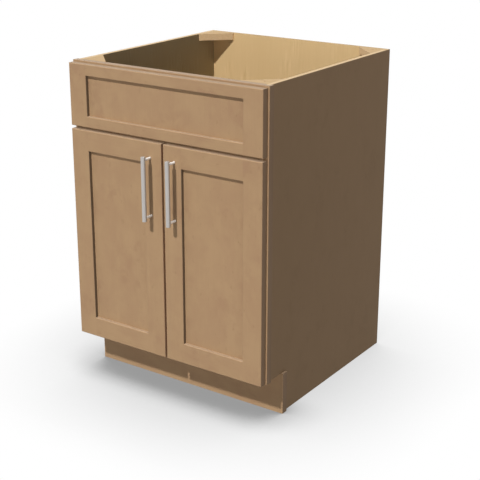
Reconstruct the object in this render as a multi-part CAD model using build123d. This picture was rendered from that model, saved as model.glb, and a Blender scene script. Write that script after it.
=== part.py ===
from build123d import *
import os

# Framed sink base cabinet, in millimetres.
# X runs left to right, Y from front to back and Z up. The origin is on the floor, under the middle
# of the whole cabinet, pulls included.

# Overall
WIDTH = 609.6
DEPTH = 609.6               # front of the face frame to the back of the back panel
HEIGHT = 876.3

# Carcass panels
SIDE_THICK = 12.7
SIDE_INSET = 6.35           # outer face of a side panel behind the frame's outer edge
BACK_THICK = 12.7
BOTTOM_THICK = 12.7
DADO_DEPTH = 6.35           # how far the bottom and back panels enter the side panels
FRAME_GROOVE_DEPTH = 6.35   # how far the side and bottom panels enter the frame

# Toe kick
TOE_HEIGHT = 114.3
TOE_RECESS = 76.2           # front of the frame to the front of the toe kick board
TOE_THICK = 19.05

# Face frame
FRAME_THICK = 19.05
STILE_WIDTH = 38.1
TOP_RAIL_HEIGHT = 38.1
MIDDLE_RAIL_HEIGHT = 38.1
BOTTOM_RAIL_HEIGHT = 38.1

# Corner braces
BRACE_LEG = 73.0
BRACE_THICK = 19.05
BRACE_TIP = 4.0             # blunt end of each acute corner
BRACE_HOLE_RADIUS = 2.75
BRACE_HOLE_INSET = 22.0     # hole from both legs of the brace

# Doors and false front
FRONT_THICK = 19.05
FRONT_GAP = 2.0             # back of the fronts to the face frame
SIDE_REVEAL = 4.0           # frame left showing beside the fronts
TOP_REVEAL = 4.4
BOTTOM_REVEAL = 1.2
DOOR_GAP = 6.35
FRONT_SPACING = 8.7         # between the false front and the doors
FALSE_HEIGHT = 165.1
FALSE_STILE_WIDTH = 56.4
FALSE_RAIL_HEIGHT = 29.5
DOOR_STILE_WIDTH = 56.4
DOOR_RAIL_HEIGHT = 55.4
PANEL_THICK = 6.35
PANEL_RECESS = 9.5          # front of the stiles to the front of the panel
PANEL_GROOVE = 9.5          # how far panels and rail tongues enter the stiles
PANEL_FLOAT = 0.8           # room at the bottom of the groove
EDGE_ROUND = 2.2            # eased front edges of the doors and the false front
FRAME_ROUND = 0.8           # eased outer edges of the face frame and the toe kick board

# False front fixings
SPACER_RADIUS = 7.0
FALSE_SCREW_RADIUS = 1.9
FALSE_SCREW_HEAD_RADIUS = 3.8
FALSE_SCREW_HEAD_HEIGHT = 2.2
FALSE_SCREW_GRIP = 8.0      # how far the screw enters the false front
FALSE_SCREW_FROM_EDGE = 24.0
FALSE_SCREW_FROM_OPENING = 9.5

# Bar pulls
PULL_DIAMETER = 12.0
PULL_SPACING = 152.4        # between the two posts
PULL_OVERHANG = 9.0         # bar end beyond the post's centre
PULL_STANDOFF = 28.0        # front of the door to the middle of the bar
PULL_FROM_EDGE = 34.925     # centre line to the door's meeting edge
PULL_FROM_TOP = 40.6        # upper post to the top of the door
PULL_END_ROUND = 0.8
POST_DIAMETER = 6.6
POST_SEAT = 3.0             # how far a post enters the bar
PULL_SCREW_RADIUS = 2.0
PULL_SCREW_GRIP = 12.0      # how far the screw enters the post
PULL_SCREW_HEAD_RADIUS = 4.2
PULL_SCREW_HEAD_HEIGHT = 2.4

# Concealed hinges
HINGE_FROM_END = 95.0       # hinge centre to the top or bottom of the door
CUP_DIAMETER = 35.0
CUP_DEPTH = 12.0
POCKET_LENGTH = 30.2
POCKET_WIDTH = 12.0
POCKET_DEPTH = 11.0
FLANGE_THICK = 1.0
FLANGE_LENGTH = 56.0
FLANGE_BACKSET = 6.0        # flange edge beyond the middle of the cup, on the hinge side
CUP_SCREW_SPACING = 45.0
CUP_SCREW_OFFSET = 9.5
CUP_SCREW_RADIUS = 1.75
CUP_SCREW_HEAD_RADIUS = 3.0
CUP_SCREW_LENGTH = 10.0
ARM_THICK = 2.5
ARM_LENGTH = 36.0
ARM_FRONT_INSET = 2.0       # arm plate behind the front of the frame
ARM_PLATE_DEPTH = 15.0
ARM_CLEARANCE = 1.0         # arm to the end of the pocket
ARM_SCREW_SPACING = 25.0
ARM_SCREW_RADIUS = 1.75
ARM_SCREW_LENGTH = 14.0
ARM_SCREW_HEAD_RADIUS = 3.2
ARM_SCREW_HEAD_HEIGHT = 1.6
LEAF_WIDTH = 5.2            # width of the arm's tongue and of the link, side by side
LEAF_GAP = 0.6
LINK_THICK = 2.5
LINK_REACH = 17.8           # cup pin to arm pin, along the door
LINK_DROP = 1.5             # arm pin deeper in the door than the cup pin
LINK_CLEARANCE = 0.75       # link to the bottom of the pocket
EYE_RADIUS = 2.4
EYE_CLEARANCE = 0.4         # eye to the end of the pocket
CUP_PIN_DEPTH = 3.5
CUP_PIN_LENGTH = 18.0
PIN_RADIUS = 1.25

# Bumpers on the backs of the doors
BUMPER_RADIUS = 4.5
BUMPER_FROM_EDGE = 22.0
BUMPER_FROM_END = 8.0

# Cross recesses in the screw heads
RECESS_SPAN = 3.6
RECESS_WIDTH = 0.9
RECESS_DEPTH = 1.1

# Clearances
RUNNING_FIT = 0.05          # eye round its pin
SEATED_FIT = 0.02           # pin in its seat
DRILL_FIT = 0.1             # hole round a screw, a cup or a post

# Places worked out from the sizes
FRONT_PROJECTION = FRONT_GAP + FRONT_THICK + PULL_STANDOFF + PULL_DIAMETER / 2
FRAME_FRONT = (FRONT_PROJECTION - DEPTH) / 2
FRAME_BACK = FRAME_FRONT + FRAME_THICK
PANEL_START = FRAME_BACK - FRAME_GROOVE_DEPTH
BACK = FRAME_FRONT + DEPTH
BACK_FRONT = BACK - BACK_THICK
HALF = WIDTH / 2
SIDE_OUT = HALF - SIDE_INSET
SIDE_IN = SIDE_OUT - SIDE_THICK
OPENING_HALF = HALF - STILE_WIDTH
FRAME_BOTTOM = TOE_HEIGHT
FLOOR_TOP = FRAME_BOTTOM + BOTTOM_RAIL_HEIGHT
FLOOR_BOTTOM = FLOOR_TOP - BOTTOM_THICK
TOE_FRONT = FRAME_FRONT + TOE_RECESS
TOE_BACK = TOE_FRONT + TOE_THICK

FRONT_BACK = FRAME_FRONT - FRONT_GAP
FRONT_FACE = FRONT_BACK - FRONT_THICK
PANEL_FACE = FRONT_FACE + PANEL_RECESS
FRONT_EDGE = HALF - SIDE_REVEAL
FALSE_TOP = HEIGHT - TOP_REVEAL
FALSE_BOTTOM = FALSE_TOP - FALSE_HEIGHT
DOOR_TOP = FALSE_BOTTOM - FRONT_SPACING
DOOR_BOTTOM = FRAME_BOTTOM + BOTTOM_REVEAL
MIDDLE_RAIL_CENTRE = (FALSE_BOTTOM + DOOR_TOP) / 2
MIDDLE_RAIL_TOP = MIDDLE_RAIL_CENTRE + MIDDLE_RAIL_HEIGHT / 2
MIDDLE_RAIL_BOTTOM = MIDDLE_RAIL_CENTRE - MIDDLE_RAIL_HEIGHT / 2

# The left hinges, in plan: the arm lies on the frame's opening edge and drops into the cup's pocket
HINGE_HEIGHTS = (DOOR_BOTTOM + HINGE_FROM_END, DOOR_TOP - HINGE_FROM_END)
ARM_FACE = -OPENING_HALF
POCKET_END = ARM_FACE + ARM_THICK + ARM_CLEARANCE
CUP_X = POCKET_END - POCKET_LENGTH / 2
POCKET_FLOOR = FRONT_BACK - POCKET_DEPTH
CUP_PIN = (POCKET_END - POCKET_LENGTH + EYE_CLEARANCE + EYE_RADIUS, FRONT_BACK - CUP_PIN_DEPTH)
ARM_PIN = (CUP_PIN[0] + LINK_REACH, CUP_PIN[1] - LINK_DROP)
LINK_FLOOR = POCKET_FLOOR + LINK_CLEARANCE


def block(x, y, z):
    """A box between two ends along each axis."""
    size = [end - start for start, end in (x, y, z)]
    middle = [(start + end) / 2 for start, end in (x, y, z)]
    return Pos(*middle) * Box(*size)


def rod_x(radius, x, y, z):
    """A round rod along X between two ends."""
    return Pos((x[0] + x[1]) / 2, y, z) * Rot(0, 90, 0) * Cylinder(radius, x[1] - x[0])


def rod_y(radius, x, y, z):
    """A round rod along Y between two ends."""
    return Pos(x, (y[0] + y[1]) / 2, z) * Rot(90, 0, 0) * Cylinder(radius, y[1] - y[0])


def rod_z(radius, x, y, z):
    """A round rod along Z between two ends."""
    return Pos(x, y, (z[0] + z[1]) / 2) * Cylinder(radius, z[1] - z[0])


def mirrored(solids):
    """The same solids on the other side of the cabinet."""
    return [mirror(solid, about=Plane.YZ) for solid in solids]


def cross_y(x, face, z):
    """The cross recess of a screw head that faces backwards."""
    depth = (face - RECESS_DEPTH, face)
    long = RECESS_SPAN / 2
    short = RECESS_WIDTH / 2
    return block((x - long, x + long), depth, (z - short, z + short)) + block(
        (x - short, x + short), depth, (z - long, z + long)
    )


def cross_x(face, y, z):
    """The cross recess of a screw head that faces to the right."""
    depth = (face - RECESS_DEPTH, face)
    long = RECESS_SPAN / 2
    short = RECESS_WIDTH / 2
    return block(depth, (y - long, y + long), (z - short, z + short)) + block(
        depth, (y - short, y + short), (z - long, z + long)
    )


def eased(solid, face, radius, faces_away):
    """Round the edges of the front face that lie on the given outer planes, such as ("X", -300)."""
    chosen = []
    for axis, place in faces_away:
        for edge in solid.edges():
            middle = edge.center()
            if abs(getattr(middle, axis) - place) < 1e-4 and abs(middle.Y - face) < 1e-4:
                chosen.append(edge)
    return fillet(chosen, radius)


def save(name, solids):
    """Write one node, of one solid or several alike."""
    shape = solids[0] if len(solids) == 1 else Compound(children=solids)
    export_step(shape, os.path.join("parts", name + ".step"))


def save_pair(name, solids):
    """Write the left node and its mirror image on the right."""
    save("left_" + name, solids)
    save("right_" + name, mirrored(solids))


def side_panel():
    """Left side panel, notched for the toe kick, with a dado for the floor and a rabbet for the back."""
    panel = block((-SIDE_OUT, -SIDE_IN), (PANEL_START, BACK), (0, HEIGHT))
    panel -= block((-SIDE_OUT, -SIDE_IN), (PANEL_START, TOE_BACK), (0, TOE_HEIGHT))
    dado = (-SIDE_IN - DADO_DEPTH, -SIDE_IN)
    panel -= block(dado, (PANEL_START, BACK_FRONT), (FLOOR_BOTTOM, FLOOR_TOP))
    panel -= block(dado, (BACK_FRONT, BACK), (0, HEIGHT))
    return panel


def bottom_panel():
    """Cabinet floor, let into both sides and the bottom rail."""
    reach = SIDE_IN + DADO_DEPTH
    panel = block((-reach, reach), (PANEL_START, BACK_FRONT), (FLOOR_BOTTOM, FLOOR_TOP))
    for side in (-1, 1):
        corner = sorted((side * OPENING_HALF, side * reach))
        panel -= block(corner, (PANEL_START, FRAME_BACK), (FLOOR_BOTTOM, FLOOR_TOP))
    return panel


def back_panel():
    """Full back, let into the rabbets of the sides."""
    reach = SIDE_IN + DADO_DEPTH
    return block((-reach, reach), (BACK_FRONT, BACK), (0, HEIGHT))


def toe_kick_board():
    """Board across the front of the base, with its middle raised between the sides to the floor."""
    board = block((-HALF, HALF), (TOE_FRONT, TOE_BACK), (0, TOE_HEIGHT))
    board = eased(board, TOE_FRONT, FRAME_ROUND, [("X", -HALF), ("X", HALF)])
    return board + block((-SIDE_IN, SIDE_IN), (TOE_FRONT, TOE_BACK), (TOE_HEIGHT, FLOOR_BOTTOM))


def frame_stile():
    """Left stile of the face frame, grooved for the side panel and drilled for hinges and false front."""
    stile = block((-HALF, -OPENING_HALF), (FRAME_FRONT, FRAME_BACK), (FRAME_BOTTOM, HEIGHT))
    stile = eased(stile, FRAME_FRONT, FRAME_ROUND, [("X", -HALF), ("Z", FRAME_BOTTOM), ("Z", HEIGHT)])
    stile -= block((-SIDE_OUT, -SIDE_IN), (PANEL_START, FRAME_BACK), (FRAME_BOTTOM, HEIGHT))
    for height in false_screw_heights():
        stile -= rod_y(FALSE_SCREW_RADIUS + DRILL_FIT, false_screw_x(), (FRAME_FRONT, FRAME_BACK), height)
    for height in arm_screw_heights():
        reach = (ARM_FACE + ARM_THICK - ARM_SCREW_LENGTH, ARM_FACE)
        stile -= rod_x(ARM_SCREW_RADIUS + DRILL_FIT, reach, arm_screw_y(), height)
    return stile


def frame_rail(bottom, top):
    """One rail of the face frame, between the stiles."""
    return block((-OPENING_HALF, OPENING_HALF), (FRAME_FRONT, FRAME_BACK), (bottom, top))


def top_frame_rail():
    """Top rail, eased along the top of the cabinet."""
    return eased(frame_rail(HEIGHT - TOP_RAIL_HEIGHT, HEIGHT), FRAME_FRONT, FRAME_ROUND, [("Z", HEIGHT)])


def bottom_frame_rail():
    """Bottom rail, grooved along its top for the cabinet floor."""
    rail = eased(frame_rail(FRAME_BOTTOM, FLOOR_TOP), FRAME_FRONT, FRAME_ROUND, [("Z", FRAME_BOTTOM)])
    groove = (FLOOR_BOTTOM, FLOOR_TOP)
    return rail - block((-OPENING_HALF, OPENING_HALF), (PANEL_START, FRAME_BACK), groove)


def corner_brace(y_wall, inward):
    """Left triangular brace in the corner of the side panel and a wall at y_wall."""
    def at(along_side, along_wall):
        return (-SIDE_IN + along_wall, y_wall + inward * along_side)

    tips = [at(0, BRACE_LEG), at(BRACE_TIP, BRACE_LEG), at(BRACE_LEG, BRACE_TIP), at(BRACE_LEG, 0)]
    outline = Polyline(at(0, 0), *tips, at(0, 0))
    brace = Pos(0, 0, HEIGHT - BRACE_THICK) * extrude(make_face(outline), amount=BRACE_THICK, dir=(0, 0, 1))
    hole = at(BRACE_HOLE_INSET, BRACE_HOLE_INSET)
    return brace - rod_z(BRACE_HOLE_RADIUS, *hole, (HEIGHT - BRACE_THICK, HEIGHT))


def groove(x, z):
    """The groove that holds a panel, over the given stretch."""
    return block(x, (PANEL_FACE, PANEL_FACE + PANEL_THICK), z)


def edge_waste(inner, into_wood, z):
    """What easing takes off the inner front edge of a stile, over the stretch z beside the opening."""
    corner = inner + into_wood * EDGE_ROUND
    strip = block(sorted((inner, corner)), (FRONT_FACE, FRONT_FACE + EDGE_ROUND), z)
    return strip - rod_z(EDGE_ROUND, corner, FRONT_FACE + EDGE_ROUND, z)


def front_stile(x, outer, z, rail_height):
    """Stile of a door or false front, grooved along its inner edge. outer is its outer end in x."""
    inner = x[0] if outer == x[1] else x[1]
    into_wood = 1 if inner == x[0] else -1
    stile = block(x, (FRONT_FACE, FRONT_BACK), z)
    stile = eased(stile, FRONT_FACE, EDGE_ROUND, [("X", outer), ("Z", z[0]), ("Z", z[1])])
    stile -= edge_waste(inner, into_wood, (z[0] + rail_height, z[1] - rail_height))
    return stile - groove(sorted((inner, inner + into_wood * PANEL_GROOVE)), z)


def front_rail(x, outer, z):
    """Rail between two stiles, with a tongue at each end and a groove along its inner edge."""
    inner = z[0] if outer == z[1] else z[1]
    depth = PANEL_GROOVE if inner == z[0] else -PANEL_GROOVE
    rail = block(x, (FRONT_FACE, FRONT_BACK), z)
    rail = eased(rail, FRONT_FACE, EDGE_ROUND, [("Z", outer), ("Z", inner)])
    tongue = (x[0] - PANEL_GROOVE, x[1] + PANEL_GROOVE)
    rail += groove(tongue, z)
    return rail - groove(tongue, sorted((inner, inner + depth)))


def front_panel(x, z):
    """Flat panel that floats in the grooves round the opening x by z."""
    reach = PANEL_GROOVE - PANEL_FLOAT
    return groove((x[0] - reach, x[1] + reach), (z[0] - reach, z[1] + reach))


def false_screw_x():
    """Line of the left false front screws, beside the opening."""
    return -OPENING_HALF - FALSE_SCREW_FROM_OPENING


def false_screw_heights():
    """Heights of the false front screws."""
    return (FALSE_BOTTOM + FALSE_SCREW_FROM_EDGE, FALSE_TOP - FALSE_SCREW_FROM_EDGE)


def false_front_screws():
    """Left screws, through the stile and a spacer into the false front."""
    screws = []
    for height in false_screw_heights():
        shank_ends = (FRONT_BACK - FALSE_SCREW_GRIP, FRAME_BACK)
        shank = rod_y(FALSE_SCREW_RADIUS, false_screw_x(), shank_ends, height)
        head_ends = (FRAME_BACK, FRAME_BACK + FALSE_SCREW_HEAD_HEIGHT)
        screw = shank + rod_y(FALSE_SCREW_HEAD_RADIUS, false_screw_x(), head_ends, height)
        screws.append(screw - cross_y(false_screw_x(), head_ends[1], height))
    return screws


def false_front_spacers():
    """Left spacers between the frame and the false front."""
    spacers = []
    for height in false_screw_heights():
        spacer = rod_y(SPACER_RADIUS, false_screw_x(), (FRONT_BACK, FRAME_FRONT), height)
        hole = rod_y(FALSE_SCREW_RADIUS + DRILL_FIT, false_screw_x(), (FRONT_BACK, FRAME_FRONT), height)
        spacers.append(spacer - hole)
    return spacers


def false_front_stile():
    """Left stile of the false front, drilled from behind."""
    outer = -FRONT_EDGE
    height = (FALSE_BOTTOM, FALSE_TOP)
    stile = front_stile((outer, outer + FALSE_STILE_WIDTH), outer, height, FALSE_RAIL_HEIGHT)
    for screw in false_screw_heights():
        ends = (FRONT_BACK - FALSE_SCREW_GRIP, FRONT_BACK)
        stile -= rod_y(FALSE_SCREW_RADIUS + DRILL_FIT, false_screw_x(), ends, screw)
    return stile


def build_false_front():
    """The five pieces of the false front, its spacers and its screws."""
    inner = FRONT_EDGE - FALSE_STILE_WIDTH
    save_pair("false_front_stile", [false_front_stile()])
    upper = (FALSE_TOP - FALSE_RAIL_HEIGHT, FALSE_TOP)
    save("false_front_top_rail", [front_rail((-inner, inner), FALSE_TOP, upper)])
    lower = (FALSE_BOTTOM, FALSE_BOTTOM + FALSE_RAIL_HEIGHT)
    save("false_front_bottom_rail", [front_rail((-inner, inner), FALSE_BOTTOM, lower)])
    opening = (FALSE_BOTTOM + FALSE_RAIL_HEIGHT, FALSE_TOP - FALSE_RAIL_HEIGHT)
    save("false_front_panel", [front_panel((-inner, inner), opening)])
    save("false_front_spacers", false_front_spacers() + mirrored(false_front_spacers()))
    save("false_front_screws", false_front_screws() + mirrored(false_front_screws()))


def pull_x():
    """Centre line of the left pull."""
    return -DOOR_GAP / 2 - PULL_FROM_EDGE


def post_heights():
    """Heights of the two posts of a pull."""
    upper = DOOR_TOP - PULL_FROM_TOP
    return (upper - PULL_SPACING, upper)


def pull_bar():
    """Round bar with a seat for each post in its back."""
    low, high = post_heights()
    centre = FRONT_FACE - PULL_STANDOFF
    bar = rod_z(PULL_DIAMETER / 2, pull_x(), centre, (low - PULL_OVERHANG, high + PULL_OVERHANG))
    bar = fillet(bar.edges().filter_by(GeomType.CIRCLE), PULL_END_ROUND)
    back = centre + PULL_DIAMETER / 2
    for height in post_heights():
        bar -= rod_y(POST_DIAMETER / 2 + DRILL_FIT, pull_x(), (back - POST_SEAT, back), height)
    return bar


def pull_posts():
    """Posts from the door to the bar, each tapped for its screw."""
    seat = FRONT_FACE - PULL_STANDOFF + PULL_DIAMETER / 2 - POST_SEAT
    posts = []
    for height in post_heights():
        post = rod_y(POST_DIAMETER / 2, pull_x(), (seat, FRONT_FACE), height)
        tapped = (FRONT_FACE - PULL_SCREW_GRIP, FRONT_FACE)
        posts.append(post - rod_y(PULL_SCREW_RADIUS + DRILL_FIT, pull_x(), tapped, height))
    return posts


def pull_screws():
    """Screws from behind the door into the posts."""
    screws = []
    for height in post_heights():
        shank = rod_y(PULL_SCREW_RADIUS, pull_x(), (FRONT_FACE - PULL_SCREW_GRIP, FRONT_BACK), height)
        head_ends = (FRONT_BACK, FRONT_BACK + PULL_SCREW_HEAD_HEIGHT)
        screw = shank + rod_y(PULL_SCREW_HEAD_RADIUS, pull_x(), head_ends, height)
        screws.append(screw - cross_y(pull_x(), head_ends[1], height))
    return screws


def cup_screw_places():
    """Places of the cup screws, in the plane of the door."""
    places = []
    for height in HINGE_HEIGHTS:
        for side in (-1, 1):
            places.append((CUP_X + CUP_SCREW_OFFSET, height + side * CUP_SCREW_SPACING / 2))
    return places


def cup_screw(place, growth):
    """A countersunk screw with its head flush with the flange, or the hole for it when grown."""
    x, height = place
    face = FRONT_BACK + FLANGE_THICK
    sink = CUP_SCREW_HEAD_RADIUS - CUP_SCREW_RADIUS
    cone = Cone(CUP_SCREW_HEAD_RADIUS + growth, CUP_SCREW_RADIUS + growth, sink)
    head = Pos(x, face - sink / 2, height) * Rot(90, 0, 0) * cone
    return head + rod_y(CUP_SCREW_RADIUS + growth, x, (face - CUP_SCREW_LENGTH, face - sink), height)


def cup_screws():
    """The cup screws, with their recesses."""
    face = FRONT_BACK + FLANGE_THICK
    return [cup_screw(place, 0) - cross_y(place[0], face, place[1]) for place in cup_screw_places()]


def hinge_stile():
    """Left door's hinge stile, bored for the cups and drilled for their screws."""
    outer = -FRONT_EDGE
    stile = front_stile((outer, outer + DOOR_STILE_WIDTH), outer, (DOOR_BOTTOM, DOOR_TOP), DOOR_RAIL_HEIGHT)
    for height in HINGE_HEIGHTS:
        stile -= rod_y(CUP_DIAMETER / 2 + DRILL_FIT, CUP_X, (FRONT_BACK - CUP_DEPTH, FRONT_BACK), height)
    for place in cup_screw_places():
        stile -= cup_screw(place, DRILL_FIT)
    return stile


def meeting_stile():
    """Left door's other stile, drilled for the pull."""
    outer = -DOOR_GAP / 2
    stile = front_stile((outer - DOOR_STILE_WIDTH, outer), outer, (DOOR_BOTTOM, DOOR_TOP), DOOR_RAIL_HEIGHT)
    for height in post_heights():
        stile -= rod_y(PULL_SCREW_RADIUS + DRILL_FIT, pull_x(), (FRONT_FACE, FRONT_BACK), height)
    return stile


def hinge_cups():
    """Steel cups with a flange and a pocket for the link and the arm."""
    cups = []
    for height in HINGE_HEIGHTS:
        cup = rod_y(CUP_DIAMETER / 2, CUP_X, (FRONT_BACK - CUP_DEPTH, FRONT_BACK), height)
        flange_x = (CUP_X - FLANGE_BACKSET, CUP_X + CUP_DIAMETER / 2)
        flange_z = (height - FLANGE_LENGTH / 2, height + FLANGE_LENGTH / 2)
        cup += block(flange_x, (FRONT_BACK, FRONT_BACK + FLANGE_THICK), flange_z)
        pocket_z = (height - POCKET_WIDTH / 2, height + POCKET_WIDTH / 2)
        pocket_y = (POCKET_FLOOR, FRONT_BACK + FLANGE_THICK)
        cup -= block((POCKET_END - POCKET_LENGTH, POCKET_END), pocket_y, pocket_z)
        cup -= rod_z(PIN_RADIUS + SEATED_FIT, *CUP_PIN, cup_pin_ends(height))
        for place in cup_screw_places():
            cup -= cup_screw(place, DRILL_FIT)
        cups.append(cup)
    return cups


def cup_pin_ends(height):
    """Both ends of a cup pin."""
    return (height - CUP_PIN_LENGTH / 2, height + CUP_PIN_LENGTH / 2)


def link_ends(height):
    """The link's side of the pocket."""
    return (height - LEAF_GAP / 2 - LEAF_WIDTH, height - LEAF_GAP / 2)


def tongue_ends(height):
    """The arm's side of the pocket."""
    return (height + LEAF_GAP / 2, height + LEAF_GAP / 2 + LEAF_WIDTH)


def hinge_links():
    """Cranked links from the cup pin to the arm pin, bent to clear the edge of the open door."""
    links = []
    half = LINK_THICK / 2
    bend = (LINK_FLOOR, LINK_FLOOR + LINK_THICK)
    for height in HINGE_HEIGHTS:
        ends = link_ends(height)
        link = block((CUP_PIN[0] - half, ARM_PIN[0] + half), bend, ends)
        for pin in (CUP_PIN, ARM_PIN):
            link += block((pin[0] - half, pin[0] + half), (LINK_FLOOR, pin[1]), ends)
            link += rod_z(EYE_RADIUS, *pin, ends)
        for pin in (CUP_PIN, ARM_PIN):
            link -= rod_z(PIN_RADIUS + RUNNING_FIT, *pin, ends)
        links.append(link)
    return links


def arm_screw_y():
    """Line of the arm's screws along the stile's edge."""
    return FRAME_FRONT + ARM_FRONT_INSET + ARM_PLATE_DEPTH / 2


def arm_screw_heights():
    """Heights of the arm's screws."""
    return [height + side * ARM_SCREW_SPACING / 2 for height in HINGE_HEIGHTS for side in (-1, 1)]


def hinge_arms():
    """Plates on the edge of the left stile, each with a tongue that reaches into the cup."""
    arms = []
    face = (ARM_FACE, ARM_FACE + ARM_THICK)
    half = ARM_THICK / 2
    for height in HINGE_HEIGHTS:
        plate_y = (FRAME_FRONT + ARM_FRONT_INSET, FRAME_FRONT + ARM_FRONT_INSET + ARM_PLATE_DEPTH)
        arm = block(face, plate_y, (height - ARM_LENGTH / 2, height + ARM_LENGTH / 2))
        ends = tongue_ends(height)
        arm += block(face, (ARM_PIN[1] - half, plate_y[0]), ends)
        arm += block((ARM_PIN[0], face[1]), (ARM_PIN[1] - half, ARM_PIN[1] + half), ends)
        arm += rod_z(EYE_RADIUS, *ARM_PIN, ends)
        arm -= rod_z(PIN_RADIUS + SEATED_FIT, *ARM_PIN, ends)
        for screw in arm_screw_heights():
            arm -= rod_x(ARM_SCREW_RADIUS + DRILL_FIT, face, arm_screw_y(), screw)
        arms.append(arm)
    return arms


def arm_screws():
    """Screws through the arm plates into the stile."""
    screws = []
    outside = ARM_FACE + ARM_THICK
    for height in arm_screw_heights():
        shank = rod_x(ARM_SCREW_RADIUS, (outside - ARM_SCREW_LENGTH, outside), arm_screw_y(), height)
        head = (outside, outside + ARM_SCREW_HEAD_HEIGHT)
        screw = shank + rod_x(ARM_SCREW_HEAD_RADIUS, head, arm_screw_y(), height)
        screws.append(screw - cross_x(head[1], arm_screw_y(), height))
    return screws


def bumpers():
    """Pads on the back of the left door, over the middle and bottom rails."""
    x = -DOOR_GAP / 2 - BUMPER_FROM_EDGE
    heights = (DOOR_BOTTOM + BUMPER_FROM_END, DOOR_TOP - BUMPER_FROM_END)
    return [rod_y(BUMPER_RADIUS, x, (FRONT_BACK, FRAME_FRONT), height) for height in heights]


def build_carcass():
    """Side panels, floor, back, toe kick, face frame and braces."""
    save_pair("side_panel", [side_panel()])
    save("bottom_panel", [bottom_panel()])
    save("back_panel", [back_panel()])
    save("toe_kick_board", [toe_kick_board()])
    save_pair("frame_stile", [frame_stile()])
    save("top_frame_rail", [top_frame_rail()])
    save("middle_frame_rail", [frame_rail(MIDDLE_RAIL_BOTTOM, MIDDLE_RAIL_TOP)])
    save("bottom_frame_rail", [bottom_frame_rail()])
    save_pair("front_brace", [corner_brace(FRAME_BACK, 1)])
    save_pair("back_brace", [corner_brace(BACK_FRONT, -1)])


def build_doors():
    """Both doors, with their pulls and bumpers."""
    x = (-FRONT_EDGE + DOOR_STILE_WIDTH, -DOOR_GAP / 2 - DOOR_STILE_WIDTH)
    z = (DOOR_BOTTOM + DOOR_RAIL_HEIGHT, DOOR_TOP - DOOR_RAIL_HEIGHT)
    save_pair("door_hinge_stile", [hinge_stile()])
    save_pair("door_meeting_stile", [meeting_stile()])
    save_pair("door_top_rail", [front_rail(x, DOOR_TOP, (z[1], DOOR_TOP))])
    save_pair("door_bottom_rail", [front_rail(x, DOOR_BOTTOM, (DOOR_BOTTOM, z[0]))])
    save_pair("door_panel", [front_panel(x, z)])
    save_pair("pull_bar", [pull_bar()])
    save_pair("pull_posts", pull_posts())
    save_pair("pull_screws", pull_screws())
    save_pair("bumpers", bumpers())


def build_hinges():
    """Cups, links and arms of the concealed hinges, with their pins and screws."""
    save_pair("hinge_cups", hinge_cups())
    save_pair("cup_pins", [rod_z(PIN_RADIUS, *CUP_PIN, cup_pin_ends(height)) for height in HINGE_HEIGHTS])
    save_pair("cup_screws", cup_screws())
    save_pair("hinge_links", hinge_links())
    save_pair("hinge_arms", hinge_arms())
    pins = [rod_z(PIN_RADIUS, *ARM_PIN, (link_ends(z)[0], tongue_ends(z)[1])) for z in HINGE_HEIGHTS]
    save_pair("arm_pins", pins)
    save_pair("arm_screws", arm_screws())


os.makedirs("parts", exist_ok=True)
build_carcass()
build_false_front()
build_doors()
build_hinges()
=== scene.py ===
import math
import bpy
import bmesh
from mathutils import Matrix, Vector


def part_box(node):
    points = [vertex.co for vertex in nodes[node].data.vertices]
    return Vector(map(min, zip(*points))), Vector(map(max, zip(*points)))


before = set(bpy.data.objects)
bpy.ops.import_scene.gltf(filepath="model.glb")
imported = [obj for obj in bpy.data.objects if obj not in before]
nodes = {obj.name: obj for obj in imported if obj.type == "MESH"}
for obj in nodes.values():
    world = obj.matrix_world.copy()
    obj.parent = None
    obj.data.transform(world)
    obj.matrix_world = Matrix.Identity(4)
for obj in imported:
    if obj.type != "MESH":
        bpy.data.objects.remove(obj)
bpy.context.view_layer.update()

QUARTER_TURN = math.pi / 2

# The photograph's frame, and the camera worked out from the cabinet's corners in it.
IMAGE_SIZE = 480
SENSOR_WIDTH = 36
CAMERA_PLACE = (1.6797, -2.3938, 1.3898)
CAMERA_TILT = math.radians(71.383)
CAMERA_TURN = math.radians(34.804)
FOCAL_PIXELS = 1111.48
PICTURE_CENTRE = (235.34, 224.91)

# The key light comes from straight ahead, about half way up, and is the only one with a hard
# shadow. Weaker lights from above and all round fill the gaps, as a white room does.
KEY_HEIGHT = math.radians(47)
KEY_SPREAD = math.radians(2.4)
KEY_STRENGTH = 2.68
SOFT_KEY_STRENGTH = 0.28
ABOVE_STRENGTH = 1.0
AHEAD_HEIGHT = math.radians(4)
AHEAD_SPREAD = math.radians(14)
AHEAD_STRENGTH = 0.25
BESIDE_STRENGTH = 0.15
LOW_SIDE_TURN = math.radians(70)
LOW_SIDE_SPREAD = math.radians(25)
LOW_SIDE_STRENGTH = 0.32
BEHIND_HEIGHT = math.radians(8)
BEHIND_SPREAD = math.radians(16)
BEHIND_STRENGTH = 0.7
SKY = (0.085, 0.087, 0.092, 1)
WHITE = (1, 1, 1, 1)
BLACK = (0, 0, 0, 1)

# The floor, and the soft shadow on it: a wide one all round, and a near one in front, round the
# toe space, which fades out between its two ends along Y.
FLOOR_HALF_WIDTH = 8
FLOOR_BOUNCE = 0.36
SHADOW_SAMPLES = 16
WIDE_SHADOW_REACH = 0.40
WIDE_SHADOW_DEPTH = 0.589
NEAR_SHADOW_REACH = 0.13
NEAR_SHADOW_DEPTH = 1.04
NEAR_SHADOW_ENDS = (-0.277, -0.077)
DEEPEST_SHADOW = 0.675

# How much white the satin lacquer reflects, on the solid wood and on the thin coat of the sheets.
SATIN = 0.12
SHEET_SATIN = 0.05

# How far the grain of the wood and the brush strokes on the metal stand proud.
GRAIN_BUMP = {"Strength": 0.06, "Distance": 0.0004}
STROKE_BUMP = {"Strength": 0.04, "Distance": 0.0001}

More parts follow.
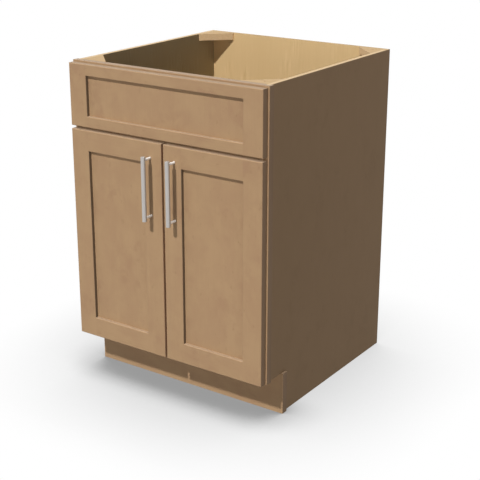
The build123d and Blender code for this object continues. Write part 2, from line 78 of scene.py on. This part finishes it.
# How squarely a surface has to face a way before it starts to count, and before it counts in full.
FACING = (0.50, 0.90)
FACING_SIDEWAYS = (0.45, 0.95)

# How much of the stain gives way to painted light on edges that face up and down, and to the
# edge colours, painted shade or painted light, on those that face sideways.
PAINTED_LIGHT_ABOVE = 0.9
PAINTED_LIGHT_BELOW = 0.6
EDGE_COVER = 0.8

# The layers of a ply sheet, and where the veneer on its faces ends, as shares of its thickness.
PLY_LAYERS = 7
SHEET_VENEER = (0.01, 0.05)
SIDE_INNER_VENEER = (0.02, 0.06)
SIDE_OUTER_VENEER = (0.95, 0.97)

# Where the pieces are cut from the timber, in metres: the first place, the step from each piece to
# the next of its kind, and the step from the left one to the right one.
STILE_TIMBER = [(0, 0, 0), (0.71, 0.43, 1.17), (2.3, 0, 0.6)]
DOOR_RAIL_TIMBER = [(5.1, 0, 0), (0.9, 0, 0.7), (0, 3.3, 1.9)]
LONG_RAIL_TIMBER = [(7.7, 0, 0), (1, 1.1, 0.9)]
BRACE_TIMBER = [(0, 0.7, 0.9), (0.4, 0, 0)]
SIDE_TIMBER = [(0, 1.3, 0.4), (0.37, 0, 0)]
FALSE_FRONT_TIMBER = [(9.4, 2.2, 0.3)]
BOTTOM_TIMBER = [(1.2, 0.1, 0.5)]
BACK_TIMBER = [(0.3, 0.8, 0.2)]

# Where the metal's strokes and the plastic's haze start.
METAL_PLACE = (0.1, 0.2, 0.3)
PLASTIC_PLACE = (0, 0, 0)

TURN_TO_UPRIGHT = {"X": (0, QUARTER_TURN, 0), "Y": (QUARTER_TURN, 0, 0), "Z": (0, 0, 0)}
SIDES = ("left_", "right_")


def linear(red, green, blue):
    """A colour as it looks on a screen, 0 to 255, as Blender counts it."""
    parts = []
    for part in (red, green, blue):
        part = part / 255
        parts.append(part / 12.92 if part <= 0.04045 else ((part + 0.055) / 1.055) ** 2.4)
    return (*parts, 1)


STAIN_PALE = linear(180, 148, 113)
STAIN_DEEP = linear(150, 120, 88)
STAIN_FLUSH = linear(166, 131, 102)
# Painted light: a paler stain on edges that face up or down.
UPDOWN_PAINTED_LIGHT = linear(166, 142, 117)
# Painted light: a paler stain on the meeting edges, lighting the gap between the doors.
GAP_PAINTED_LIGHT = linear(184, 150, 120)
# Painted shade: a darker stain on edges that face sideways.
SIDEWAYS_PAINTED_SHADE = linear(146, 118, 92)
# Painted shade: a dark stain on the inner edges of the recesses round the panels.
RECESS_PAINTED_SHADE = linear(100, 90, 76)
# The outside of the side panels: the stain made darker, painted shade for the sides.
VENEER_PALE = linear(170, 140, 108)
VENEER_DEEP = linear(141, 114, 85)
CLEAR_PALE = linear(227, 197, 148)
CLEAR_DEEP = linear(200, 166, 114)
# Brace colours: the darker pair on tops and bottoms is painted shade, the paler pair on the sides
# painted light.
BRACE_PALE = linear(198, 168, 126)
BRACE_DEEP = linear(174, 142, 98)
BRACE_SIDE_PAINTED_LIGHT_PALE = linear(228, 198, 158)
BRACE_SIDE_PAINTED_LIGHT_DEEP = linear(202, 169, 124)
# The inside of the side panels: clear maple painted darker and greyer, as painted shade inside the
# box.
INNER_PAINTED_SHADE_PALE = linear(168, 153, 124)
INNER_PAINTED_SHADE_DEEP = linear(146, 128, 95)
EDGE_PALE = linear(220, 194, 155)
EDGE_DEEP = linear(194, 163, 120)
SHEET_EDGE_PALE = linear(190, 162, 118)
SHEET_EDGE_DEEP = linear(168, 138, 96)
PLASTIC_PALE = linear(236, 233, 224)
PLASTIC_DEEP = linear(222, 218, 208)
SMEAR_SHADE = 0.95

# The colours on the left and right edges of each left piece: painted shade on the outer sides
# and in the recesses, painted light on the meeting edges in the gap. The right piece mirrors it.
STILE_EDGES = {
    "frame_stile": (SIDEWAYS_PAINTED_SHADE, SIDEWAYS_PAINTED_SHADE),
    "false_front_stile": (SIDEWAYS_PAINTED_SHADE, RECESS_PAINTED_SHADE),
    "door_hinge_stile": (SIDEWAYS_PAINTED_SHADE, RECESS_PAINTED_SHADE),
    "door_meeting_stile": (RECESS_PAINTED_SHADE, GAP_PAINTED_LIGHT),
    "door_panel": (SIDEWAYS_PAINTED_SHADE, SIDEWAYS_PAINTED_SHADE),
}


class Wire:
    """A socket of a material. Arithmetic on it adds Math nodes, and node() adds any other kind."""

    def __init__(self, tree, socket=None):
        self.tree = tree
        self.socket = socket

    def node(self, kind, settings=None, sockets=None, out=None):
        """Add a node: its settings first, then the values and links of its sockets.

        Gives the output named out, or else the first. A material's last node has none.
        """
        made = self.tree.nodes.new(kind)
        for name, setting in (settings or {}).items():
            setattr(made, name, setting)
        for name, value in (sockets or {}).items():
            if isinstance(name, int):
                socket = made.inputs[name]
            else:
                socket = next(s for s in made.inputs if s.enabled and s.name == name)
            if isinstance(value, Wire):
                self.tree.links.new(value.socket, socket)
            else:
                socket.default_value = value
        outputs = (s for s in made.outputs if s.enabled and out in (None, s.name))
        return Wire(self.tree, next(outputs, None))

    def maths(self, operation, first, second=0.0):
        """Add a Math node."""
        return self.node("ShaderNodeMath", {"operation": operation}, {0: first, 1: second})

    def __add__(self, other):
        return self.maths("ADD", self, other)

    __radd__ = __add__

    def __sub__(self, other):
        return self.maths("SUBTRACT", self, other)

    def __rsub__(self, other):
        return self.maths("SUBTRACT", other, self)

    def __mul__(self, other):
        return self.maths("MULTIPLY", self, other)

    __rmul__ = __mul__

    def __truediv__(self, other):
        return self.maths("DIVIDE", self, other)

    def __abs__(self):
        return self.maths("ABSOLUTE", self)


def new_material(name):
    """An empty material, and a Wire to build on."""
    material = bpy.data.materials.new(name)
    material.use_nodes = True
    material.node_tree.nodes.clear()
    return material, Wire(material.node_tree)


def finish_surface(start, sockets):
    """End a material with its shader."""
    shader = start.node("ShaderNodeBsdfPrincipled", {}, sockets)
    start.node("ShaderNodeOutputMaterial", {}, {"Surface": shader})


def step(value, low, high):
    """0 below low, 1 above high, and a smooth rise between."""
    return value.node(
        "ShaderNodeMapRange",
        {"interpolation_type": "SMOOTHSTEP"},
        {"Value": value, "From Min": low, "From Max": high},
    )


def swing(marks, amount):
    """Marks that run from 0 to 1, turned into a swing about nought."""
    return amount * (marks - 0.5)


def noise(space, scale, detail=2.0, roughness=0.5, distortion=0.0):
    """Even noise from 0 to 1 over a space."""
    sockets = {
        "Vector": space,
        "Scale": scale,
        "Detail": detail,
        "Roughness": roughness,
        "Distortion": distortion,
    }
    return space.node("ShaderNodeTexNoise", {}, sockets, "Fac")


def drawn_out(space, along):
    """A space in which patterns get longer along the grain, by 1 / along."""
    return space.node("ShaderNodeMapping", {}, {"Vector": space, "Scale": (1, 1, along)})


def mixed(factor, first, second):
    """One colour or another, by a factor."""
    sockets = {"Factor": factor, "A": first, "B": second}
    return factor.node("ShaderNodeMix", {"data_type": "RGBA"}, sockets)


def timber_place(timber, *counts):
    """Where a piece is cut: the first place in the timber, and so many of each step from there."""
    place, *moves = timber
    for count, move in zip(counts, moves):
        place = [at + count * along for at, along in zip(place, move)]
    return place


def grain_space(start, grain, place):
    """The piece's own coordinates with its grain turned upright, moved to a place in the timber."""
    own = start.node("ShaderNodeTexCoord", out="Object")
    sockets = {"Vector": own, "Location": place, "Rotation": TURN_TO_UPRIGHT[grain]}
    return start.node("ShaderNodeMapping", {}, sockets)


def axis_of(start, output, axis):
    """One axis of the piece's own coordinates or of the way its surface faces."""
    vector = start.node("ShaderNodeTexCoord", out=output)
    return start.node("ShaderNodeSeparateXYZ", {}, {"Vector": vector}, axis)


def facing(start, axis, way, limits=FACING):
    """1 where the surface faces along an axis, or against it where way is -1, and 0 elsewhere."""
    return step(way * axis_of(start, "Normal", axis), *limits)


def maple_marks(space):
    """The figure of maple: a soft mottle, blotches in clusters, short flecks and fine lines."""
    mottle = noise(drawn_out(space, 0.65), scale=19.0, detail=3.0, roughness=0.6)
    patches = step(noise(drawn_out(space, 0.75), scale=9.0), 0.46, 0.66)
    spots = noise(drawn_out(space, 0.75), scale=38.0, detail=4.0, roughness=0.6, distortion=0.3)
    blotches = step(spots, 0.42, 0.68) * patches
    flecks = step(noise(drawn_out(space, 0.45), scale=90.0), 0.66, 0.74)
    lines = noise(drawn_out(space, 0.012), scale=420.0, roughness=0.6)
    return mottle, blotches, flecks, lines


def lacquer(start, colour, roughness, grain, satin):
    """A lacquered wood surface, with its grain standing a little proud."""
    sockets = {
        "Base Color": colour,
        "Roughness": roughness,
        "Specular IOR Level": satin,
        "Normal": start.node("ShaderNodeBump", {}, {"Height": grain, **GRAIN_BUMP}),
    }
    finish_surface(start, sockets)


def painted_edge_light_and_shade(start, colour, left_edge, right_edge):
    """Paint a piece's edges: painted light where they face up or down, and the given edge
    colours, painted shade or painted light, where they face sideways.
    """
    # Painted light on edges that face up or down.
    painted_light = PAINTED_LIGHT_ABOVE * facing(start, "Z", 1) + PAINTED_LIGHT_BELOW * facing(start, "Z", -1)
    colour = mixed(painted_light, colour, UPDOWN_PAINTED_LIGHT)
    # Painted shade or painted light on edges that face sideways.
    for way, edge in ((1, right_edge), (-1, left_edge)):
        colour = mixed(EDGE_COVER * facing(start, "X", way, FACING_SIDEWAYS), colour, edge)
    return colour


def stained_maple(node, grain, place, left_edge=SIDEWAYS_PAINTED_SHADE, right_edge=SIDEWAYS_PAINTED_SHADE):
    """Maple with a warm stain under a satin finish, for one piece. Its edges carry painted light
    and painted shade.
    """
    material, start = new_material("stained_maple_" + node)
    mottle, blotches, flecks, lines = maple_marks(grain_space(start, grain, place))
    tone = 0.30 + swing(mottle, 0.45) + 0.30 * blotches + (0.20 + 0.60 * blotches) * flecks
    colour = mixed(tone + swing(lines, 0.22), STAIN_PALE, STAIN_DEEP)
    colour = mixed(0.25 * step(mottle, 0.40, 0.62) + 0.5 * blotches, colour, STAIN_FLUSH)
    colour = painted_edge_light_and_shade(start, colour, left_edge, right_edge)
    roughness = 0.50 + swing(lines, 0.10) + swing(mottle, 0.06)
    lacquer(start, colour, roughness, lines * 0.6 - flecks * 0.4, SATIN)
    return material


def clear_maple_colour(space, pale, deep):
    """The colour of maple under a clear finish, and its fine streaks, which lie in bunches."""
    clouds = noise(drawn_out(space, 0.10), scale=9.0, detail=3.0, roughness=0.55)
    clusters = noise(drawn_out(space, 0.5), scale=11.0, detail=3.0, roughness=0.6)
    bunches = step(clusters, 0.50, 0.68)
    streaks = noise(drawn_out(space, 0.07), scale=230.0, detail=3.0, roughness=0.6)
    tone = 0.30 + swing(clouds, 0.30) + swing(streaks, 0.20 + 1.8 * bunches)
    return mixed(tone, pale, deep), streaks


def ply_edge_colour(space, across, pale, deep):
    """The cut edge of a ply sheet. across runs from 0 on one face to 1 on the other."""
    wave = across.maths("SINE", across * (PLY_LAYERS * math.pi))
    crossed = step(wave, -0.12, 0.12)
    glue = 1 - step(abs(wave), 0.02, 0.22)
    streaks = noise(space, scale=160.0, detail=3.0, roughness=0.6)
    colour = mixed(0.7 * crossed + swing(streaks, 0.5), pale, deep)
    return mixed(0.35 * glue, colour, CLEAR_DEEP)


def side_ply(node, outward):
    """The ply of a side panel. outward is 1 on the right and -1 on the left.

    Stained veneer covers its outside and its front edges, a darker copy of the stain that is
    painted shade. Clear veneer covers its inside, painted darker and greyer as the shade inside
    the box. The layers show on its other edges.
    """
    low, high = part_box("right_side_panel")
    material, start = new_material("stained_ply_" + node)
    across = (axis_of(start, "Object", "X") * outward - low.x) / (high.x - low.x)
    space = grain_space(start, "Z", timber_place(SIDE_TIMBER, outward))
    mottle, blotches, flecks, lines = maple_marks(space)
    tone = 0.34 + swing(mottle, 0.20) + 0.14 * blotches + 0.10 * flecks + swing(lines, 0.10)
    # Painted shade: the darker stain outside and the darker, greyer clear veneer inside.
    stained = mixed(tone, VENEER_PALE, VENEER_DEEP)
    inner = clear_maple_colour(space, INNER_PAINTED_SHADE_PALE, INNER_PAINTED_SHADE_DEEP)[0]
    edge = ply_edge_colour(space, across, EDGE_PALE, EDGE_DEEP)
    colour = mixed(step(across, *SIDE_INNER_VENEER), inner, edge)
    outside = step(across, *SIDE_OUTER_VENEER)
    covered = outside.maths("MAXIMUM", outside, facing(start, "Y", -1))
    colour = mixed(covered, colour, stained)
    lacquer(start, colour, 0.52 + swing(lines, 0.10), lines, SHEET_SATIN)
    return material


def clear_ply(node, thickness, grain, place):
    """Clear-finished maple ply, with its layers on the cut edges.

    thickness is the axis through the sheet.
    """
    low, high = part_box(node)
    axis = "XYZ".index(thickness)
    material, start = new_material("clear_ply_" + node)
    across = (axis_of(start, "Object", thickness) - low[axis]) / (high[axis] - low[axis])
    space = grain_space(start, grain, place)
    face, streaks = clear_maple_colour(space, CLEAR_PALE, CLEAR_DEEP)
    inside = step(0.5 - abs(across - 0.5), *SHEET_VENEER)
    edge = ply_edge_colour(space, across, SHEET_EDGE_PALE, SHEET_EDGE_DEEP)
    colour = mixed(inside, face, edge)
    lacquer(start, colour, 0.50 + swing(streaks, 0.12), streaks, SHEET_SATIN)
    return material


def clear_maple(node, grain, place):
    """Clear maple for a brace, with painted shade on top and bottom and painted light on its sides.
    """
    material, start = new_material("clear_maple_" + node)
    space = grain_space(start, grain, place)
    top_painted_shade, streaks = clear_maple_colour(space, BRACE_PALE, BRACE_DEEP)
    side_painted_light = mixed(streaks, BRACE_SIDE_PAINTED_LIGHT_PALE, BRACE_SIDE_PAINTED_LIGHT_DEEP)
    # Painted shade on top and bottom faces, painted light on sideways ones.
    colour = mixed(step(abs(axis_of(start, "Normal", "Z")), *FACING), side_painted_light, top_painted_shade)
    lacquer(start, colour, 0.50 + swing(streaks, 0.12), streaks, SHEET_SATIN)
    return material


def metal(name, colour, metallic, roughness, axis, brush):
    """Plated metal, brushed along an axis. brush is how much the strokes change its roughness."""
    material, start = new_material(name)
    space = grain_space(start, axis, METAL_PLACE)
    strokes = noise(drawn_out(space, 0.02), scale=2600.0, roughness=0.6)
    smears = noise(space, scale=45.0, detail=3.0)
    smeared = linear(*[part * SMEAR_SHADE for part in colour])
    sockets = {
        "Base Color": mixed(smears, linear(*colour), smeared),
        "Metallic": metallic,
        "Roughness": roughness + swing(strokes, brush) + swing(smears, 0.05),
        "Normal": start.node("ShaderNodeBump", {}, {"Height": strokes, **STROKE_BUMP}),
    }
    finish_surface(start, sockets)
    return material


def pale_plastic(name):
    """Milky moulded plastic."""
    material, start = new_material(name)
    haze = noise(grain_space(start, "Z", PLASTIC_PLACE), scale=140.0)
    colour = mixed(haze, PLASTIC_PALE, PLASTIC_DEEP)
    finish_surface(start, {"Base Color": colour, "Roughness": 0.35 + 0.1 * haze})
    return material


def dress(material, *names):
    """Give CAD nodes their finish."""
    for name in names:
        slots = nodes[name].data.materials
        slots.clear()
        slots.append(material)


def dress_wood():
    """Every wooden piece gets its own stretch of timber, with the grain along the piece."""
    for index, (piece, edges) in enumerate(STILE_EDGES.items()):
        for number, side in enumerate(SIDES):
            place = timber_place(STILE_TIMBER, index, number)
            left_edge, right_edge = edges if side == "left_" else reversed(edges)
            dress(stained_maple(side + piece, "Z", place, left_edge, right_edge), side + piece)
    for index, piece in enumerate(["door_top_rail", "door_bottom_rail"]):
        for number, side in enumerate(SIDES):
            place = timber_place(DOOR_RAIL_TIMBER, index, number)
            dress(stained_maple(side + piece, "X", place), side + piece)
    long_rails = ["top_frame_rail", "middle_frame_rail", "bottom_frame_rail", "toe_kick_board"]
    long_rails += ["false_front_top_rail", "false_front_bottom_rail"]
    for index, name in enumerate(long_rails):
        dress(stained_maple(name, "X", timber_place(LONG_RAIL_TIMBER, index)), name)
    front = stained_maple("false_front_panel", "Z", timber_place(FALSE_FRONT_TIMBER))
    dress(front, "false_front_panel")
    dress(side_ply("left_side_panel", -1), "left_side_panel")
    dress(side_ply("right_side_panel", 1), "right_side_panel")
    bottom = clear_ply("bottom_panel", "Z", "X", timber_place(BOTTOM_TIMBER))
    dress(bottom, "bottom_panel")
    back = clear_ply("back_panel", "Y", "Z", timber_place(BACK_TIMBER))
    dress(back, "back_panel")
    braces = ["left_front_brace", "right_front_brace", "left_back_brace", "right_back_brace"]
    for index, name in enumerate(braces):
        dress(clear_maple(name, "X", timber_place(BRACE_TIMBER, index)), name)


def dress_fittings():
    """Pulls, hinges, screws, spacers and bumpers."""
    bar = metal(
        "satin_nickel", (188, 184, 180), metallic=0.40, roughness=0.36, axis="Z", brush=0.12
    )
    post = metal(
        "polished_nickel", (252, 251, 249), metallic=0.05, roughness=0.26, axis="Y", brush=0.04
    )
    steel = metal(
        "nickel_steel", (190, 188, 182), metallic=1.0, roughness=0.24, axis="Z", brush=0.06
    )
    zinc = metal(
        "zinc_steel", (176, 178, 178), metallic=1.0, roughness=0.34, axis="Y", brush=0.08
    )
    plastic = pale_plastic("pale_plastic")
    dress(zinc, "false_front_screws")
    dress(plastic, "false_front_spacers")
    hinge_pieces = ("hinge_cups", "cup_pins", "hinge_links", "hinge_arms", "arm_pins")
    screws = ("pull_screws", "cup_screws", "arm_screws")
    for side in SIDES:
        dress(bar, side + "pull_bar")
        dress(post, side + "pull_posts")
        dress(steel, *[side + piece for piece in hinge_pieces])
        dress(zinc, *[side + piece for piece in screws])
        dress(plastic, side + "bumpers")


def seen_directly(start):
    """1 for what the camera sees, straight, reflected or through glass, and 0 for other light."""
    kinds = ("Is Camera Ray", "Is Glossy Ray", "Is Transmission Ray")
    straight, reflected, through = [start.node("ShaderNodeLightPath", out=kind) for kind in kinds]
    seen = straight.maths("MAXIMUM", straight, reflected)
    return seen.maths("MAXIMUM", seen, through)


def shut_in(start, reach):
    """How much of the light the pieces within reach shut off, from 0 to 1."""
    settings = {"samples": SHADOW_SAMPLES}
    return 1 - start.node("ShaderNodeAmbientOcclusion", settings, {"Distance": reach}, "AO")


def set_floor():
    """A white floor that keeps a soft shadow round the foot of the cabinet."""
    mesh = bpy.data.meshes.new("floor")
    shape = bmesh.new()
    bmesh.ops.create_grid(shape, x_segments=1, y_segments=1, size=FLOOR_HALF_WIDTH)
    shape.to_mesh(mesh)
    shape.free()
    floor = bpy.data.objects.new("floor", mesh)
    bpy.context.scene.collection.objects.link(floor)
    material, start = new_material("floor_white")
    seen = seen_directly(start)
    wide = shut_in(start, WIDE_SHADOW_REACH)
    near = shut_in(start, NEAR_SHADOW_REACH)
    in_front = 1 - step(axis_of(start, "Object", "Y"), *NEAR_SHADOW_ENDS)
    shadow = WIDE_SHADOW_DEPTH * wide + NEAR_SHADOW_DEPTH * near * in_front
    shadow = shadow.maths("MINIMUM", shadow, DEEPEST_SHADOW)
    shaded = mixed(shadow, WHITE, BLACK)
    white = start.node("ShaderNodeEmission", {}, {"Color": shaded, "Strength": 1.0})
    bounce = start.node("ShaderNodeEmission", {}, {"Color": WHITE, "Strength": FLOOR_BOUNCE})
    both = start.node("ShaderNodeMixShader", {}, {0: seen, 1: bounce, 2: white})
    start.node("ShaderNodeOutputMaterial", {}, {"Surface": both})
    mesh.materials.append(material)


def set_world():
    """Even fill on the object, and white behind it."""
    world = bpy.data.worlds.new("studio")
    world.use_nodes = True
    world.node_tree.nodes.clear()
    start = Wire(world.node_tree)
    seen = seen_directly(start)
    sky = start.node("ShaderNodeBackground", {}, {"Color": SKY, "Strength": 1.0})
    white = start.node("ShaderNodeBackground", {}, {"Color": WHITE, "Strength": 1.0})
    both = start.node("ShaderNodeMixShader", {}, {0: seen, 1: sky, 2: white})
    start.node("ShaderNodeOutputWorld", {}, {"Surface": both})
    bpy.context.scene.world = world


def add_lamp(name, strength, spread, turn, shadow=True):
    """A distant lamp of the given spread. Unturned, it shines straight down."""
    lamp = bpy.data.lights.new(name, "SUN")
    lamp.energy = strength
    lamp.angle = spread
    lamp.use_shadow = shadow
    shown = bpy.data.objects.new(name, lamp)
    shown.rotation_euler = turn
    bpy.context.scene.collection.objects.link(shown)


def set_lamps():
    """The key light, like sun through a tall window, and the fill lights round it."""
    level = QUARTER_TURN
    add_lamp("key", KEY_STRENGTH, KEY_SPREAD, (level - KEY_HEIGHT, 0, 0))
    add_lamp("soft_key", SOFT_KEY_STRENGTH, 0, (level - KEY_HEIGHT, 0, 0), shadow=False)
    add_lamp("ahead", AHEAD_STRENGTH, AHEAD_SPREAD, (level - AHEAD_HEIGHT, 0, 0))
    add_lamp("low_right", LOW_SIDE_STRENGTH, LOW_SIDE_SPREAD, (level, 0, LOW_SIDE_TURN))
    add_lamp("low_left", LOW_SIDE_STRENGTH, LOW_SIDE_SPREAD, (level, 0, -LOW_SIDE_TURN))
    add_lamp("behind", BEHIND_STRENGTH, BEHIND_SPREAD, (level - BEHIND_HEIGHT, 0, math.pi))
    add_lamp("above", ABOVE_STRENGTH, 0, (0, 0, 0), shadow=False)
    add_lamp("beside_right", BESIDE_STRENGTH, 0, (level, 0, QUARTER_TURN), shadow=False)
    add_lamp("beside_left", BESIDE_STRENGTH, 0, (level, 0, -QUARTER_TURN), shadow=False)


def set_camera():
    """The camera at the photograph's place, with its centre shifted as the picture's is."""
    lens = bpy.data.cameras.new("camera")
    lens.sensor_width = SENSOR_WIDTH
    lens.lens = FOCAL_PIXELS * SENSOR_WIDTH / IMAGE_SIZE
    lens.shift_x = (IMAGE_SIZE / 2 - PICTURE_CENTRE[0]) / IMAGE_SIZE
    lens.shift_y = (PICTURE_CENTRE[1] - IMAGE_SIZE / 2) / IMAGE_SIZE
    camera = bpy.data.objects.new("camera", lens)
    camera.location = CAMERA_PLACE
    camera.rotation_euler = (CAMERA_TILT, 0, CAMERA_TURN)
    bpy.context.scene.collection.objects.link(camera)
    bpy.context.scene.camera = camera


dress_wood()
dress_fittings()
set_floor()
set_world()
set_lamps()
set_camera()
bpy.context.scene.view_settings.view_transform = "Standard"
